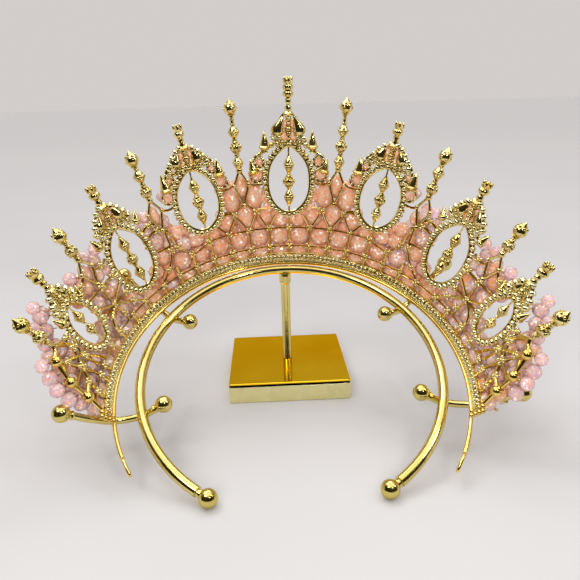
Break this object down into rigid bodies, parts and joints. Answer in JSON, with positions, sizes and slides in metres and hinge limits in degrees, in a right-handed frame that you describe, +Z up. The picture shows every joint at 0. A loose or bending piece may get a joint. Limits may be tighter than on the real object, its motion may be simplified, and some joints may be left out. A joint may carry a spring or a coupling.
{
  "type": "tiara on a display stand",
  "caption": "Openwork gold crown tiara with pointed arches, spires and pink cut beads, resting on a stand with a tilted open ring, ball-ended bars and a square base.",
  "frame": {"origin": "middle of the base plate's underside", "axes": "+Z up; the open sides of the crown and of the stand's ring face -Y and the crown's front faces +Y; +X is to the right for someone who looks at the open side"},
  "size_m": [0.2071, 0.1405, 0.1525],
  "materials": {
    "gold_stand": "polished gold-coloured plating",
    "gold_tiara": "bright polished gold plating",
    "rose_crystal": "clear rose faceted glass on plated wire"
  },
  "bodies": {
    "root": {"stand_base": "gold_stand", "stand_stem": "gold_stand", "stand_ring": "gold_stand", "ring_ball_left": "gold_stand", "ring_ball_right": "gold_stand", "upper_bar_left": "gold_stand", "upper_bar_right": "gold_stand", "lower_bar_left": "gold_stand", "lower_bar_right": "gold_stand", "headband": "gold_tiara", "arch_centre": "gold_tiara", "arch_inner_left": "gold_tiara", "arch_inner_right": "gold_tiara", "arch_middle_left": "gold_tiara", "arch_middle_right": "gold_tiara", "arch_outer_left": "gold_tiara", "arch_outer_right": "gold_tiara", "spire_first_left": "gold_tiara", "spire_first_right": "gold_tiara", "spire_second_left": "gold_tiara", "spire_second_right": "gold_tiara", "spire_third_left": "gold_tiara", "spire_third_right": "gold_tiara", "spire_fourth_left": "gold_tiara", "spire_fourth_right": "gold_tiara", "crystal_net_left": "rose_crystal", "crystal_net_right": "rose_crystal"}
  },
  "joints": []
}
